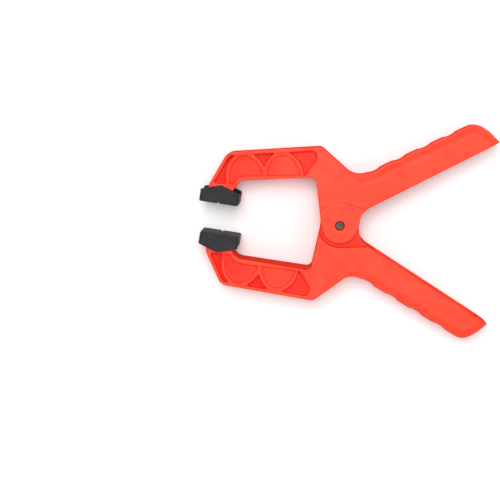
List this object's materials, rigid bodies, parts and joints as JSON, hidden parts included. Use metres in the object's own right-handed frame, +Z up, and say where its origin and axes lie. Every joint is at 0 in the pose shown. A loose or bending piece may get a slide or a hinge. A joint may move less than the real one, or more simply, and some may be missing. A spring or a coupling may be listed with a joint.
{
  "type": "spring clamp",
  "caption": "Hand spring clamp with pocketed C-shaped jaws, swivelling cupped jaw pads, a pinned hub with a torsion spring and splayed ribbed handles.",
  "frame": {"origin": "middle of the underside of the clamp's bounding box, with the clamp lying flat and its jaws open as stored", "axes": "+Z up along the pivot pin, +X towards the handles, +Y towards the upper arm"},
  "size_m": [0.129, 0.0936, 0.022],
  "materials": {
    "arm": "satin moulded",
    "pad": "matte moulded",
    "pin": "plain steel",
    "spring": "dark oiled steel"
  },
  "bodies": {
    "lower_half": {"lower_arm": "arm", "pivot_pin": "pin", "torsion_spring": "spring", "lower_pad_pin": "pin"},
    "upper_half": {"upper_arm": "arm", "upper_pad_pin": "pin"},
    "upper_pad_body": {"upper_pad": "pad"},
    "lower_pad_body": {"lower_pad": "pad"}
  },
  "joints": [
    {"name": "jaw_pivot", "type": "hinge", "parent": "lower_half", "child": "upper_half", "pos_m": [-0.00257, 0, 0.011], "axis": [0, 0, -1], "range_deg": [-14.2, 42], "stiffness_Nm_per_rad": 3, "springref_deg": -34.38, "deforming": ["torsion_spring"]},
    {"name": "upper_pad_swivel", "type": "hinge", "parent": "upper_half", "child": "upper_pad_body", "pos_m": [-0.05537, 0.0127, 0.011], "axis": [0, 0, 1], "range_deg": [-7.1, 21]},
    {"name": "lower_pad_swivel", "type": "hinge", "parent": "lower_half", "child": "lower_pad_body", "pos_m": [-0.05537, -0.0127, 0.011], "axis": [0, 0, 1], "range_deg": [-21, 7.1]}
  ],
  "couplings": [
    {"joint": "upper_pad_swivel", "follows": "jaw_pivot", "ratio": 0.5},
    {"joint": "lower_pad_swivel", "follows": "jaw_pivot", "ratio": -0.5}
  ]
}
